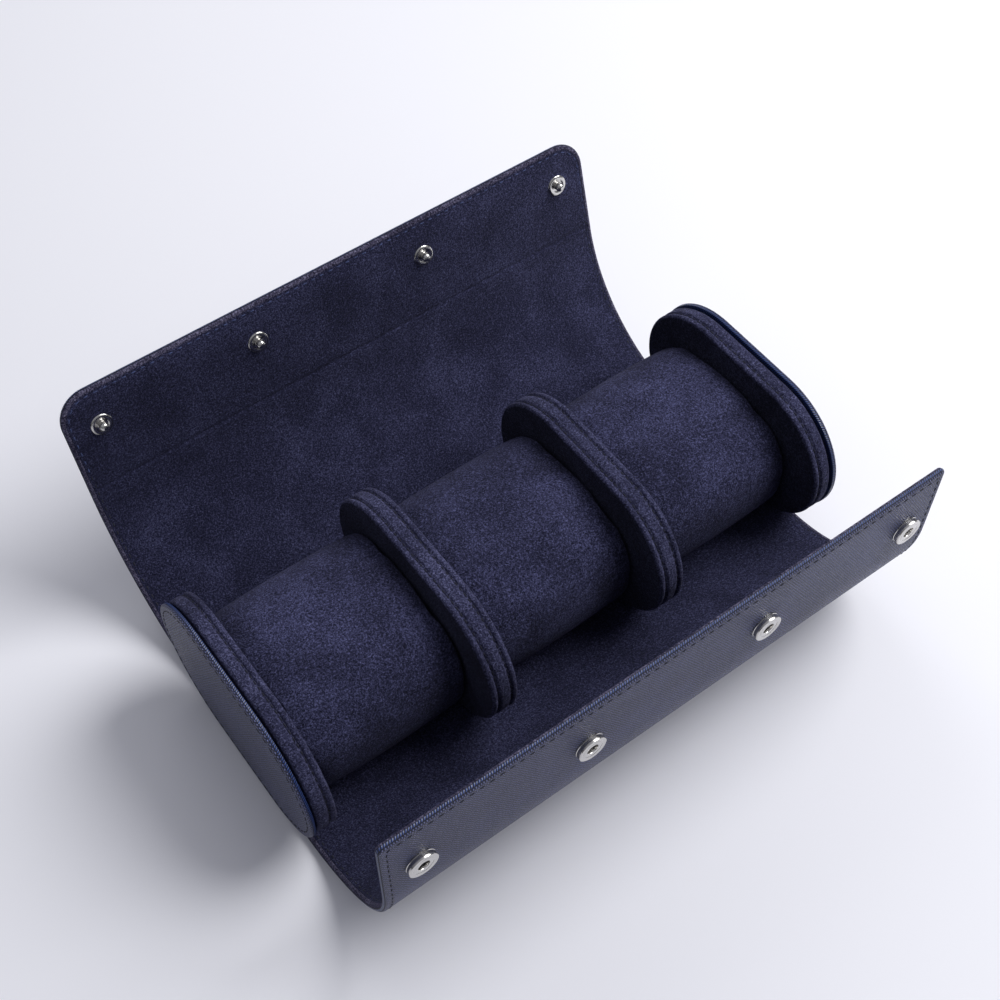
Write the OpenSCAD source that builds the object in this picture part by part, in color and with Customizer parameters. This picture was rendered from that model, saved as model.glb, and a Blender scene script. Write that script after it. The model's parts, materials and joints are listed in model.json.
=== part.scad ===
// Roll-up travel case for three watches, shown open.
// Origin: centre of the floor's underside. X runs along the roll, the front wall is on -Y,
// the flap is on +Y, and Z is up. Millimetres.

/* [Wrap] */
// Half of the wrap's width, measured along the roll
wrap_half_w = 100.5; // [80:0.5:140]
// Thickness of the outer leather
leather_t = 0.8; // [0.6:0.1:1.4]
// Thickness of each stiffener board
board_t = 0.7; // [0.5:0.1:1.5]
// Thickness of the suede lining with its backing
lining_t = 0.8; // [0.6:0.1:1.4]
// Glue line between two layers
glue_t = 0.05; // [0.03:0.01:0.1]
// Width of the turned hem round the wrap's edge
hem_w = 1.4; // [1:0.1:3]
// Width of the scored gap between two stiffener slats
score_gap = 0.6; // [0.5:0.1:1]

/* [Front wall] */
// Distance from the middle of the case to where the front wall starts to bend
front_flat = 30; // [26:0.5:34]
// Outer radius of the front bend
front_radius = 50; // [44:1:56]
// Lean of the front wall above its bend, in degrees from the table
front_lean = 90; // [80:1:95]
// Pitch of the front slats
front_pitch = 15.25; // [14.5:0.05:16]
// Length of the front wall from its first fold to its edge
front_length = 113.8; // [100:0.2:120]
// Radius of the front wall's corners
front_corner = 2; // [1.6:0.2:8]

/* [Back wall and flap] */
// Distance from the middle of the case to where the back wall starts to bend
back_flat = 28; // [25:0.5:34]
// Outer radius of the back bend
back_radius = 62; // [56:1:68]
// Lean of the flap above its crease, in degrees from the table
back_lean = 74; // [66:1:85]
// Pitch of the back slats
back_pitch = 15.4; // [14.5:0.05:16]
// Length of the back from its first fold to the flap's edge
back_length = 120.8; // [110:0.2:130]
// Radius of the flap's corners
flap_corner = 10.5; // [4:0.5:16]
// Distance from the flap's edge to the crease across its lining
crease_inset = 35.3; // [32:0.1:36]
// Half width of the crease
crease_half_w = 0.5; // [0.3:0.1:0.7]

/* [Panels] */
// Radius of the round ends of every upright panel
panel_r = 27.2; // [24:0.1:29]
// Half length of the straight run at the top and bottom of a panel
panel_straight = 15.5; // [12:0.5:20]
// Thickness of the suede on a panel's rim and faces
suede_t = 0.8; // [0.6:0.1:1.2]
// Radius of the piping round a suede edge
piping_r = 1.1; // [0.9:0.1:1.5]
// Width of the stitched groove beside a piping
groove_w = 0.7; // [0.4:0.1:1]
// Depth of the stitched groove
groove_d = 0.4; // [0.2:0.1:0.6]
// Thickness of a divider
divider_t = 9.4; // [7:0.1:12]
// How far an end panel's inner face lies inside the wrap's side edge
end_inset = 7.3; // [6.6:0.1:9]
// Width of the suede band on an end panel
end_band_w = 6.8; // [5:0.1:7]
// How deep the recess beside an end panel's band is
recess_d = 1; // [0.5:0.1:2]

/* [End caps] */
// How far an end cap stands out past the panel's rim
cap_lip = 0.3; // [0.1:0.1:2.2]
// Thickness of the leather on an end cap
cap_leather_t = 0.7; // [0.5:0.1:1]
// Thickness of the board in an end cap
cap_board_t = 1; // [0.8:0.1:1.5]
// Side play between the wrap's edge and an end cap
cap_play = 0.3; // [0.2:0.05:0.6]
// Rounding of the cap's outer edge, where the leather turns over the board
cap_round = 0.6; // [0.3:0.1:0.7]

/* [Cushions] */
// Play between a cushion's end and the panel beside it
cushion_gap = 0.4; // [0.3:0.1:1]
// Half width of a cushion, front to back
cushion_half_w = 32.5; // [26:0.5:33]
// Height of a cushion
cushion_h = 46.4; // [36:0.2:48]
// How far a cushion's centre lies behind the middle
cushion_y = 1.5; // [-2:0.5:5]
// Share by which a cushion narrows from its crown to its ends
cushion_crown = 0.03; // [0.01:0.01:0.15]
// Thickness of the suede sleeve on a cushion
sleeve_t = 1.2; // [0.8:0.1:2]
// Play under and round a cushion
cushion_play = 0.1; // [0.1:0.05:0.3]

/* [Snaps] */
// Distance from the wrap's side edge to the outer snap beside it
snap_edge = 11.8; // [8:0.1:20]
// Distance between an outer snap and the inner one beside it
snap_pitch = 56.4; // [50:0.1:60]
// Distance from the front wall's edge to the sockets
socket_inset = 21; // [18:0.5:24]
// Distance from the flap's edge to the studs
stud_inset = 14; // [12:0.5:16]
// Radius of a socket's disc
socket_r = 4.8; // [4.5:0.1:6]
// Height of a socket over the leather
socket_h = 2.2; // [1.8:0.1:2.8]
// Radius of the hole that takes the stud's ball
socket_bore_r = 2.3; // [2:0.1:2.6]
// Radius of a stud's flange
stud_flange_r = 3.7; // [3.6:0.1:5]
// Thickness of a stud's flange
stud_flange_t = 0.5; // [0.4:0.1:0.8]
// Radius of a stud's ball
stud_ball_r = 1.55; // [1.3:0.05:1.8]
// Height of the ball's centre over the lining
stud_ball_z = 1.55; // [1.4:0.05:1.8]
// Outer radius of the tube that holds a snap in the board
snap_tube_r = 1.5; // [1.3:0.1:1.8]
// Radius of the rivet's pin
rivet_pin_r = 0.8; // [0.6:0.05:1]
// Radius of the rivet's head
rivet_head_r = 3.4; // [2.8:0.1:4]
// Thickness of the rivet's head
rivet_head_t = 0.3; // [0.2:0.05:0.35]
// Play round the tubes and pins
snap_play = 0.06; // [0.04:0.01:0.1]

/* [Hidden] */
$fn = 64;

// Number of slats in each bend, before the edge board or the flap
slat_count = 5;
// Turn of one fold when the wrap lies closed round the panels
fold_turn = 30;
// Longest facet along a bend
bend_step = 2.4;
// A small length by which a cutter passes the face that it cuts
eps = 0.5;

wrap_t = leather_t + board_t + lining_t + 2 * glue_t;
half_t = wrap_t / 2;
panel_z = wrap_t + panel_r;
// The first fold lies where a strip at one fold's turn would touch the panel's round end
fold_y = panel_straight + (panel_z - half_t) * tan(fold_turn / 2);

// Each wall is [flat run past the first fold, radius at mid thickness, sweep, pitch, length, corner]
front = [front_flat - fold_y, front_radius - half_t, front_lean, front_pitch, front_length, front_corner];
back = [back_flat - fold_y, back_radius - half_t, back_lean, back_pitch, back_length, flap_corner];

// Offsets of the layers from mid thickness, negative towards the outside
leather_span = [-half_t, -half_t + leather_t];
board_span = [leather_span[1] + glue_t, leather_span[1] + glue_t + board_t];
lining_span = [half_t - lining_t, half_t];

leather_colour = "#2a2f4e";
suede_colour = "#26264a";
dark_suede_colour = "#191930";
board_colour = "#8a8478";
foam_colour = "#c9c4b8";
nickel_colour = "#c4c4c8";

// ---- The path that a wall follows, from the first fold: returns [y, z, direction]
function arc_end(w) = w[0] + w[1] * w[2] * PI / 180;
function along(w, s) =
    s <= w[0] ? [s, 0, 0] :
    s <= arc_end(w) ? along_arc(w, (s - w[0]) / w[1] * 180 / PI) :
    along_lean(along_arc(w, w[2]), s - arc_end(w));
function along_arc(w, a) = [w[0] + w[1] * sin(a), w[1] * (1 - cos(a)), a];
function along_lean(p, d) = [p[0] + d * cos(p[2]), p[1] + d * sin(p[2]), p[2]];
function offset_point(p, o) = [fold_y + p[0] - o * sin(p[2]), half_t + p[1] + o * cos(p[2])];
function steps(s0, s1) = max(1, ceil((s1 - s0) / bend_step));
// Stations from s0 to s1: even steps, and the places where the bend starts and ends
function stations(w, s0, s1) = concat(
    [s0],
    w[0] > s0 && w[0] < s1 ? [w[0]] : [],
    [for (i = [1 : steps(w[0], arc_end(w)) - 1])
        let (s = w[0] + (arc_end(w) - w[0]) * i / steps(w[0], arc_end(w))) if (s > s0 && s < s1) s],
    arc_end(w) > s0 && arc_end(w) < s1 ? [arc_end(w)] : [],
    [s1]
);

// ---- One layer of a wall, between stations s0 and s1, on the +Y side
module layer(w, s0, s1, span, inset) {
    places = stations(w, s0, s1);
    outer = [for (s = places) offset_point(along(w, s), span[0])];
    inner = [for (i = [len(places) - 1 : -1 : 0]) offset_point(along(w, places[i]), span[1])];
    half_w = wrap_half_w - inset;
    corner = w[5] - inset;
    difference() {
        rotate([90, 0, 90])
            linear_extrude(height = 2 * half_w, center = true)
                polygon(concat(outer, inner));
        if (s1 > arc_end(w) + w[5])
            for (side = [-1, 1])
                on_wall(w, s1)
                    translate([side * half_w, 0, 0])
                        corner_cutter(corner, side);
    }
}

// Cuts the square corner at the origin to a radius: the layer lies at -Y and towards the middle
module corner_cutter(radius, side) {
    translate([-side * radius, -radius, -wrap_t])
        difference() {
            translate([side > 0 ? 0 : -radius - eps, 0, 0])
                cube([radius + eps, radius + eps, 2 * wrap_t]);
            translate([0, 0, -eps])
                cylinder(r = radius, h = 2 * wrap_t + 2 * eps);
        }
}

// Puts its children at station s of a wall, with +Z towards the inside and +Y along the wall
module on_wall(w, s) {
    p = along(w, s);
    translate([0, fold_y + p[0], half_t + p[1]])
        rotate([p[2], 0, 0])
            children();
}

snap_outer_x = wrap_half_w - snap_edge;
snap_inner_x = snap_outer_x - snap_pitch;

module at_snaps(w, s) {
    for (x = [-snap_outer_x, -snap_inner_x, snap_inner_x, snap_outer_x])
        on_wall(w, s)
            translate([x, 0, 0])
                children();
}

// ---- Outer leather: a sheet with a hem that is turned up round the board and the lining
module wall_leather(w) {
    difference() {
        layer(w, 0, w[4], [-half_t, half_t], 0);
        layer(w, -eps, w[4] - hem_w, [leather_span[1], wrap_t], hem_w);
    }
}

module front_leather() {
    color(leather_colour)
        mirror([0, 1, 0])
            difference() {
                wall_leather(front);
                at_snaps(front, front_length - socket_inset)
                    translate([0, 0, -wrap_t])
                        cylinder(r = snap_tube_r + snap_play, h = wrap_t);
            }
}

module back_leather() {
    color(leather_colour) wall_leather(back);
}

module floor_leather() {
    color(leather_colour)
        difference() {
            translate([-wrap_half_w, -fold_y, 0])
                cube([2 * wrap_half_w, 2 * fold_y, wrap_t]);
            translate([-wrap_half_w + hem_w, -fold_y - eps, leather_t])
                cube([2 * (wrap_half_w - hem_w), 2 * (fold_y + eps), wrap_t]);
        }
}

// ---- Stiffener boards: slats with scored gaps, glued between the leather and the lining
board_inset = hem_w + glue_t;

module slat(w, number) {
    layer(w, (number - 1) * w[3] + score_gap / 2, number * w[3] - score_gap / 2, board_span, board_inset);
}

module edge_board(w) {
    layer(w, slat_count * w[3] + score_gap / 2, w[4] - board_inset, board_span, board_inset);
}

module front_slat(number) {
    color(board_colour) mirror([0, 1, 0]) slat(front, number);
}

module back_slat(number) {
    color(board_colour) slat(back, number);
}

module floor_board() {
    half_l = fold_y - score_gap / 2;
    half_w = wrap_half_w - board_inset;
    color(board_colour)
        translate([-half_w, -half_l, leather_t + glue_t])
            cube([2 * half_w, 2 * half_l, board_t]);
}

// The hole through the board, and the seat for the rivet's head on the face away from the snap
module rivet_seat(away) {
    cylinder(r = snap_tube_r + snap_play, h = wrap_t, center = true);
    seat = rivet_head_t + glue_t;
    translate([0, 0, away > 0 ? board_span[1] - seat : board_span[0] - eps])
        cylinder(r = rivet_head_r + snap_play, h = seat + eps);
}

module front_edge_board() {
    color(board_colour)
        mirror([0, 1, 0])
            difference() {
                edge_board(front);
                at_snaps(front, front_length - socket_inset) rivet_seat(1);
            }
}

module flap_board() {
    color(board_colour)
        difference() {
            edge_board(back);
            at_snaps(back, back_length - stud_inset) rivet_seat(-1);
        }
}

// ---- Suede lining
module floor_lining() {
    half_w = wrap_half_w - board_inset;
    color(suede_colour)
        translate([-half_w, -fold_y, wrap_t - lining_t])
            cube([2 * half_w, 2 * fold_y, lining_t]);
}

module front_lining() {
    color(suede_colour)
        mirror([0, 1, 0])
            layer(front, 0, front_length - board_inset, lining_span, board_inset);
}

module back_lining() {
    color(suede_colour)
        difference() {
            layer(back, 0, back_length - board_inset, lining_span, board_inset);
            at_snaps(back, back_length - stud_inset)
                cylinder(r = snap_tube_r + snap_play, h = wrap_t);
            on_wall(back, back_length - crease_inset)
                translate([0, 0, half_t])
                    rotate([0, 90, 0])
                        cylinder(r = crease_half_w, h = 2 * wrap_half_w, center = true);
        }
}

// ---- Upright panels: everything is a stadium that stands on the lining
module stadium(x0, x1, radius) {
    translate([x0, 0, panel_z]) {
        translate([0, -panel_straight, -radius])
            cube([x1 - x0, 2 * panel_straight, 2 * radius]);
        for (side = [-1, 1])
            translate([0, side * panel_straight, 0])
                rotate([0, 90, 0])
                    cylinder(r = radius, h = x1 - x0);
    }
}

// Sweeps a profile, drawn as [radius, place along X], round the stadium
module round_stadium() {
    translate([0, 0, panel_z]) {
        for (side = [0, 1])
            mirror([0, side, 0])
                translate([0, panel_straight, 0])
                    rotate([0, 90, 0])
                        rotate_extrude(angle = 180)
                            children();
        for (side = [0, 1])
            mirror([0, 0, side])
                rotate([-90, -90, 0])
                    linear_extrude(height = 2 * panel_straight, center = true)
                        children();
    }
}

// The suede on a rim from x = 0 to x = width, with a piping and a stitched groove at each listed edge
module band_profile(width, edges) {
    difference() {
        translate([panel_r - suede_t, 0])
            square([suede_t, width]);
        for (edge = edges)
            translate([panel_r - groove_d, edge == 0 ? 0 : width - 2 * piping_r - groove_w])
                square([suede_t, 2 * piping_r + groove_w]);
    }
    for (edge = edges)
        difference() {
            translate([panel_r - piping_r, edge == 0 ? piping_r : width - piping_r])
                circle(r = piping_r);
            translate([panel_r - suede_t - 2 * piping_r, 0])
                square([2 * piping_r, width]);
        }
}

// The two dividers part the space between the end panels into three equal slots
end_x = wrap_half_w - end_inset;
slot_l = 2 * (end_x - divider_t) / 3;
divider_x = slot_l / 2;

module divider_band() {
    color(suede_colour)
        translate([divider_x, 0, 0])
            round_stadium()
                band_profile(divider_t, [0, 1]);
}

core_r = panel_r - suede_t - glue_t;

module divider_core() {
    color(foam_colour)
        stadium(divider_x + suede_t + glue_t, divider_x + divider_t - suede_t - glue_t, core_r);
}

module divider_faces() {
    color(dark_suede_colour) {
        stadium(divider_x, divider_x + suede_t, core_r);
        stadium(divider_x + divider_t - suede_t, divider_x + divider_t, core_r);
    }
}

cap_x = wrap_half_w + cap_play;

module end_core() {
    color(foam_colour) {
        stadium(end_x + suede_t + glue_t, cap_x - glue_t, panel_r - suede_t - recess_d);
        stadium(end_x + suede_t + glue_t, end_x + end_band_w, core_r);
    }
}

module end_band() {
    color(suede_colour)
        translate([end_x, 0, 0])
            round_stadium()
                band_profile(end_band_w, [0]);
}

module end_face() {
    color(dark_suede_colour) stadium(end_x, end_x + suede_t, core_r);
}

cap_r = panel_r + cap_lip;
cap_outer_x = cap_x + cap_board_t + glue_t + cap_leather_t;

// What a round edge takes off a square one: the edge's centre is at the origin
module edge_cutter(radius) {
    difference() {
        square([radius + eps, radius + eps]);
        circle(r = radius, $fn = 32);
    }
}

// A leather cup: the face and the turned rim round the cap's board
module cap_leather() {
    color(leather_colour)
        difference() {
            stadium(cap_x, cap_outer_x, cap_r);
            stadium(cap_x - eps, cap_outer_x - cap_leather_t, cap_r - cap_leather_t);
            round_stadium()
                translate([cap_r - cap_round, cap_outer_x - cap_round])
                    edge_cutter(cap_round);
        }
}

module cap_board() {
    color(board_colour) stadium(cap_x, cap_x + cap_board_t, cap_r - cap_leather_t - glue_t);
}

// ---- Watch cushions: a crowned, closed form that is flat where it rests on the floor
cushion_l = slot_l - 2 * cushion_gap;
cushion_points = 32;
cushion_rings = 8;
section_power = 0.78;
end_power = 16;

function power_of(v, p) = sign(v) * pow(abs(v), p);
// Share of the full section at place t, from -1 at one end to 1 at the other
function crown_at(t) = (1 - cushion_crown * t * t) * pow(1 - pow(abs(t), end_power), 1 / end_power);
function cushion_ring(t, half_l, half_w, half_h, floor_z) = [
    for (i = [0 : cushion_points - 1])
        let (a = 360 * i / cushion_points)
        [
            t * half_l,
            cushion_y + half_w * crown_at(t) * power_of(cos(a), section_power),
            max(floor_z, wrap_t + cushion_play + cushion_h / 2
                + half_h * crown_at(t) * power_of(sin(a), section_power))
        ]
];

module cushion_form(inset) {
    half_l = cushion_l / 2 - inset;
    half_w = cushion_half_w - inset;
    half_h = cushion_h / 2 - inset;
    floor_z = wrap_t + cushion_play + cushion_h * 0.012 + inset;
    ring_count = 2 * cushion_rings - 1;
    centre_z = wrap_t + cushion_play + cushion_h / 2;
    rings = [for (k = [1 : ring_count])
        cushion_ring(sin(90 * (k / cushion_rings - 1)), half_l, half_w, half_h, floor_z)];
    points = concat(
        [for (ring = rings) each ring],
        [[-half_l, cushion_y, centre_z], [half_l, cushion_y, centre_z]]
    );
    n = cushion_points;
    first_pole = ring_count * n;
    last_row = (ring_count - 1) * n;
    sides = [for (k = [0 : ring_count - 2]) for (i = [0 : n - 1])
        let (a = k * n + i, b = k * n + (i + 1) % n)
        each [[a, a + n, b], [b, a + n, b + n]]];
    poles = [for (i = [0 : n - 1])
        let (j = (i + 1) % n)
        each [[first_pole, i, j], [first_pole + 1, last_row + j, last_row + i]]];
    polyhedron(points = points, faces = concat(sides, poles));
}

slot_x = slot_l + divider_t;

module cushion_core(x) {
    color(foam_colour) translate([x, 0, 0]) cushion_form(sleeve_t + glue_t);
}

module cushion_sleeve(x) {
    color(suede_colour)
        translate([x, 0, 0])
            difference() {
                cushion_form(0);
                cushion_form(sleeve_t);
            }
}

// ---- Snaps: sockets outside on the front wall, studs inside on the flap, each held by a rivet
tube_l = leather_t + glue_t + board_t - rivet_head_t - glue_t;
socket_floor = 0.3;
socket_lip_w = 1;
socket_round = 0.6;

// Drawn as [radius, height over the leather]
module socket_profile() {
    difference() {
        union() {
            translate([rivet_pin_r + snap_play, 0])
                square([socket_r - socket_round - rivet_pin_r - snap_play, socket_h]);
            translate([rivet_pin_r + snap_play, 0])
                square([socket_r - rivet_pin_r - snap_play, socket_h - socket_round]);
            translate([socket_r - socket_round, socket_h - socket_round])
                circle(r = socket_round, $fn = 24);
            translate([rivet_pin_r + snap_play, -tube_l])
                square([snap_tube_r - rivet_pin_r - snap_play, tube_l + socket_floor]);
        }
        translate([0, socket_floor])
            square([socket_bore_r, socket_h]);
        // The dished ring between the lip round the bore and the rim
        translate([socket_bore_r + socket_lip_w, socket_h - socket_floor])
            square([socket_r - socket_round - socket_bore_r - 1.5 * socket_lip_w, socket_h]);
    }
}

module snap_sockets() {
    color(nickel_colour)
        mirror([0, 1, 0])
            at_snaps(front, front_length - socket_inset)
                translate([0, 0, -half_t])
                    rotate([180, 0, 0])
                        rotate_extrude()
                            socket_profile();
}

// The rivet's head lies in the board's seat, and its pin fills the tube
module rivet(pin_l) {
    cylinder(r = rivet_head_r, h = rivet_head_t);
    cylinder(r = rivet_pin_r, h = rivet_head_t + pin_l);
}

module socket_rivets() {
    color(nickel_colour)
        mirror([0, 1, 0])
            at_snaps(front, front_length - socket_inset)
                translate([0, 0, board_span[1]])
                    rotate([180, 0, 0])
                        rivet(tube_l + socket_floor);
}

// Drawn as [radius, height over the lining]
module stud_profile() {
    bore = rivet_pin_r + snap_play;
    translate([bore, -tube_l])
        square([snap_tube_r - bore, tube_l]);
    translate([bore, 0])
        square([stud_flange_r - bore, stud_flange_t]);
    translate([0, stud_flange_t])
        square([0.8 * stud_ball_r, stud_ball_z - stud_flange_t]);
    intersection() {
        translate([0, stud_ball_z])
            circle(r = stud_ball_r, $fn = 48);
        translate([0, stud_flange_t])
            square([2 * stud_ball_r, 3 * stud_ball_r]);
    }
}

module snap_studs() {
    color(nickel_colour)
        at_snaps(back, back_length - stud_inset)
            translate([0, 0, half_t])
                rotate_extrude()
                    stud_profile();
}

module stud_rivets() {
    color(nickel_colour)
        at_snaps(back, back_length - stud_inset)
            translate([0, 0, board_span[0]])
                rivet(tube_l);
}

floor_leather();
front_leather();
back_leather();
floor_board();
front_slat(1);  // front_slat_1
front_slat(2);  // front_slat_2
front_slat(3);  // front_slat_3
front_slat(4);  // front_slat_4
front_slat(5);  // front_slat_5
front_edge_board();
back_slat(1);  // back_slat_1
back_slat(2);  // back_slat_2
back_slat(3);  // back_slat_3
back_slat(4);  // back_slat_4
back_slat(5);  // back_slat_5
flap_board();
floor_lining();
front_lining();
back_lining();
mirror([1, 0, 0]) cap_leather();  // left_cap_leather
cap_leather();  // right_cap_leather
mirror([1, 0, 0]) cap_board();  // left_cap_board
cap_board();  // right_cap_board
mirror([1, 0, 0]) end_core();  // left_end_core
end_core();  // right_end_core
mirror([1, 0, 0]) end_band();  // left_end_band
end_band();  // right_end_band
mirror([1, 0, 0]) end_face();  // left_end_face
end_face();  // right_end_face
mirror([1, 0, 0]) divider_core();  // left_divider_core
divider_core();  // right_divider_core
mirror([1, 0, 0]) divider_band();  // left_divider_band
divider_band();  // right_divider_band
mirror([1, 0, 0]) divider_faces();  // left_divider_faces
divider_faces();  // right_divider_faces
cushion_core(-slot_x);  // left_cushion_core
cushion_core(0);  // middle_cushion_core
cushion_core(slot_x);  // right_cushion_core
cushion_sleeve(-slot_x);  // left_cushion_sleeve
cushion_sleeve(0);  // middle_cushion_sleeve
cushion_sleeve(slot_x);  // right_cushion_sleeve
snap_sockets();
socket_rivets();
snap_studs();
stud_rivets();
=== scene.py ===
import math
import bmesh
import bpy
import numpy as np
from mathutils import Matrix, Vector
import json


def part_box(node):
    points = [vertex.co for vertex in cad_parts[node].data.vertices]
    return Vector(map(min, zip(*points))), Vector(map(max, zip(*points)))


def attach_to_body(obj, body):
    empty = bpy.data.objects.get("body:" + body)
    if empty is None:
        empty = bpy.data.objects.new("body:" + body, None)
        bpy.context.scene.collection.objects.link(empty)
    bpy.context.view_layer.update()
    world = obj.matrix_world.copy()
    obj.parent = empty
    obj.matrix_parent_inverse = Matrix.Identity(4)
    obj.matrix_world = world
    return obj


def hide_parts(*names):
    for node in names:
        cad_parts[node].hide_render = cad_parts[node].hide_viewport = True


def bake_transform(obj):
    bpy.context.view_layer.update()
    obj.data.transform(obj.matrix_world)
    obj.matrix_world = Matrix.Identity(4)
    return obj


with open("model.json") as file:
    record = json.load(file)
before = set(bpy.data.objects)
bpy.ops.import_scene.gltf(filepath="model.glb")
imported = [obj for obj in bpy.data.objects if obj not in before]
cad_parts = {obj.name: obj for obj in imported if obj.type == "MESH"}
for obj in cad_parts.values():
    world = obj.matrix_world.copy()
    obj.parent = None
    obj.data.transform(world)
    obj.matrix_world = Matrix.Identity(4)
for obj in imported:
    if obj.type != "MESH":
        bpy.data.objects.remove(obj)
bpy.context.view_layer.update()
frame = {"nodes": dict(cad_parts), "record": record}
MM = 0.001
SCENE = bpy.context.scene


# ---- Camera, table and light
# The camera stands in front of the case's left end and looks down on it at about 55 degrees. Its
# place and lens were solved from the photograph. The table is a plain pale sheet. One wide soft
# light stands off the right end, a weaker one behind the case, and the rest is a pale ceiling.
def linear(code, alpha=1.0):
    """A colour written as sRGB hex, as the shader wants it."""
    parts = [int(code[i:i + 2], 16) / 255 for i in (1, 3, 5)]
    return [p / 12.92 if p <= 0.04045 else ((p + 0.055) / 1.055) ** 2.4 for p in parts] + [alpha]


def add(tree, kind, links=None, **settings):
    """Adds a node: settings are its own properties, links its inputs by name or number."""
    node = tree.nodes.new(kind)
    for key, value in settings.items():
        setattr(node, key, value)
    for key, value in (links or {}).items():
        if isinstance(value, bpy.types.NodeSocket):
            tree.links.new(value, node.inputs[key])
        else:
            node.inputs[key].default_value = value
    return node


camera_data = bpy.data.cameras.new("camera")
camera_data.sensor_width = 36
camera_data.lens = 56.3655
camera = bpy.data.objects.new("camera", camera_data)
camera.location = (-0.16693, -0.22146, 0.44942)
camera.rotation_euler = (0.615726, 0, -0.635678)
SCENE.collection.objects.link(camera)
SCENE.camera = camera
SCENE.view_settings.view_transform = "Standard"

# The table: uncoated pale paper, matt and even.
TABLE_HALF = 2.5
table_mesh = bpy.data.meshes.new("table")
table_mesh.from_pydata(
    [(-TABLE_HALF, -TABLE_HALF, 0), (TABLE_HALF, -TABLE_HALF, 0), (TABLE_HALF, TABLE_HALF, 0),
     (-TABLE_HALF, TABLE_HALF, 0)], [], [(0, 1, 2, 3)])
table = bpy.data.objects.new("table", table_mesh)
SCENE.collection.objects.link(table)
table_paper = bpy.data.materials.new("pale_table_sheet")
table_paper.use_nodes = True
paper_shader = table_paper.node_tree.nodes["Principled BSDF"]
paper_shader.inputs["Base Color"].default_value = linear("#f0f0f6")
paper_shader.inputs["Roughness"].default_value = 0.9
table_mesh.materials.append(table_paper)

# The room: the camera sees an even backdrop, the case is lit by a ceiling paler than its walls.
room = bpy.data.worlds.new("pale_room")
room.use_nodes = True
SCENE.world = room
room_tree = room.node_tree
room_tree.nodes.clear()
ray = add(room_tree, "ShaderNodeLightPath")
seen = add(room_tree, "ShaderNodeMath", {0: ray.outputs["Is Camera Ray"],
                                         1: ray.outputs["Is Transmission Ray"]}, operation="MAXIMUM")
direction = add(room_tree, "ShaderNodeTexCoord").outputs["Generated"]
height = add(room_tree, "ShaderNodeSeparateXYZ", {0: direction}).outputs["Z"]
ceiling = add(room_tree, "ShaderNodeMapRange", {"Value": height, "To Min": 0.1, "To Max": 0.49})
ambient = add(room_tree, "ShaderNodeBackground",
              {"Color": linear("#e8eaf4"), "Strength": ceiling.outputs[0]})
backdrop = add(room_tree, "ShaderNodeBackground", {"Color": linear("#f6f6fb"), "Strength": 1.0})
room_mix = add(room_tree, "ShaderNodeMixShader",
               {0: seen.outputs[0], 1: ambient.outputs[0], 2: backdrop.outputs[0]})
add(room_tree, "ShaderNodeOutputWorld", {"Surface": room_mix.outputs[0]})


def soft_light(name, place, aim, size, power):
    """A round lamp, size metres across and power watts, turned towards its aim."""
    data = bpy.data.lights.new(name, "AREA")
    data.shape = "DISK"
    data.size = size
    data.energy = power
    lamp = bpy.data.objects.new(name, data)
    lamp.location = place
    lamp.rotation_euler = (Vector(aim) - Vector(place)).to_track_quat("-Z", "Y").to_euler()
    SCENE.collection.objects.link(lamp)


soft_light("side_light", (0.7, -0.17, 0.86), (0, 0, 0), 0.78, 11.4)
soft_light("back_light", (0.2, 0.8, 0.8), (0, 0, 0), 0.7, 1.8)


# ---- Outer leather of the wrap
# One sheet of cross-grain calf leather, 0.8 mm thick, bends up at the front and the back of the
# floor. Its edge is turned over, dyed blue, and lock-stitched through the hem 2.4 mm inside. Each
# strip here reaches from the middle of one stiffener slat to the middle of the next.
FLOOR_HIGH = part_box("floor_leather")[1]
WRAP_HALF_W = FLOOR_HIGH.x
FOLD_Y = FLOOR_HIGH.y
HALF_T = FLOOR_HIGH.z / 2
LEATHER_T = 0.8 * MM
HEM_W = 1.4 * MM
SEAM_D = 0.2 * MM
STITCH_INSET = 2.4 * MM
STITCH_DENT = 0.09 * MM
STITCH_PITCH = 3.25 * MM
BEND_STEP = 1.2 * MM
FLAP_CLEARANCE = 0.45 * MM
# The third kind of face takes the navy thread: a dark line in a dent beside the ribs, partly a real
# seam, partly painted shade.
GRAIN, RIBS, SEAM_AND_SHADE, CUT = range(4)

# A wall runs flat from the floor's fold, round a bend of one radius up to its lean in degrees, and
# straight on. From plate to its length it is stiff and doesn't roll. The front wall's edge stops
# short by its edge gap, so that the rolled-up flap clears the hem.
FRONT = {
    "name": "front", "side": -1, "flat": 30 * MM - FOLD_Y, "radius": 50 * MM - HALF_T, "lean": 90,
    "pitch": 15.25 * MM, "length": 113.8 * MM, "corner": 2 * MM, "plate": 84 * MM,
    "edge_gap": FLAP_CLEARANCE,
    "bodies": ["base", "front_1", "front_2", "front_3", "front_4", "front_5", "front_edge"],
}
BACK = {
    "name": "back", "side": 1, "flat": 28 * MM - FOLD_Y, "radius": 62 * MM - HALF_T, "lean": 74,
    "pitch": 15.4 * MM, "length": 120.8 * MM, "corner": 10.5 * MM, "plate": 92 * MM,
    "edge_gap": 0,
    "bodies": ["base", "back_1", "back_2", "back_3", "back_4", "back_5", "flap"],
}


def wall_turn(wall, s):
    """How far the wall has bent up at station s, in radians."""
    return min(max((s - wall["flat"]) / wall["radius"], 0), math.radians(wall["lean"]))


def wall_point(wall, x, s, o):
    """The point at x along the roll and s along the wall, o inwards from mid thickness."""
    turn = wall_turn(wall, s)
    past = max(s - wall["flat"] - wall["radius"] * math.radians(wall["lean"]), 0)
    y = min(s, wall["flat"]) + (wall["radius"] - o) * math.sin(turn) + past * math.cos(turn)
    z = wall["radius"] * (1 - math.cos(turn)) + o * math.cos(turn) + past * math.sin(turn)
    return (x, wall["side"] * (FOLD_Y + y), HALF_T + z)


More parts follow.
